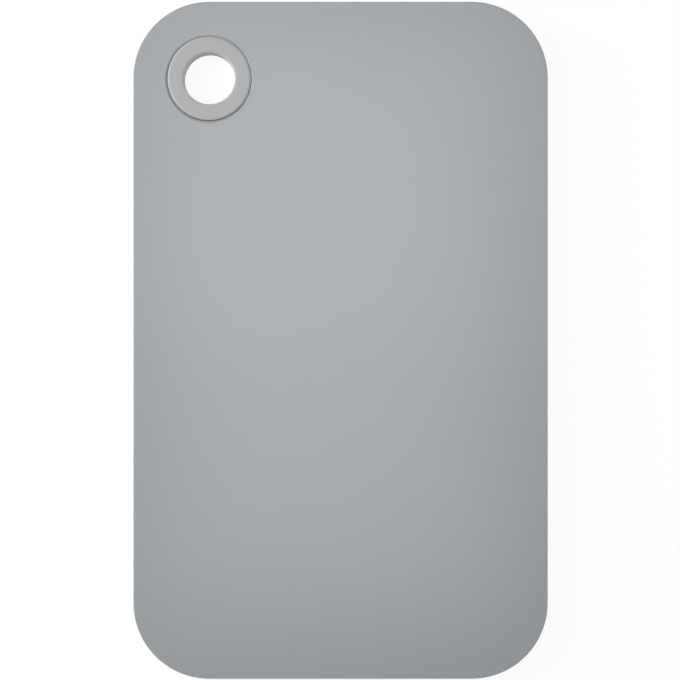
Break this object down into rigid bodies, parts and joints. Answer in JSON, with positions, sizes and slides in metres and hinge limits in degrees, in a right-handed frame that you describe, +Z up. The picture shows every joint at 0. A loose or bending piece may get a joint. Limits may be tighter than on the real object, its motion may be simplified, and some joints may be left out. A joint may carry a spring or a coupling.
{
  "type": "breakfast board",
  "caption": "Flat rectangular breakfast and cutting board with large rounded corners, and a soft ring set flush in one corner that lines its hanging hole.",
  "frame": {"origin": "middle of the underside, at the height of the surface that the board lies on", "axes": "+Y along the board's length, towards the end with the hanging ring; +Z up out of the upper face; the ring's corner is at -X, +Y"},
  "size_m": [0.15, 0.245, 0.008],
  "materials": {
    "board_plastic": "satin",
    "ring_rubber": "matte"
  },
  "bodies": {
    "root": {"board": "board_plastic", "hanging_ring": "ring_rubber"}
  },
  "joints": []
}
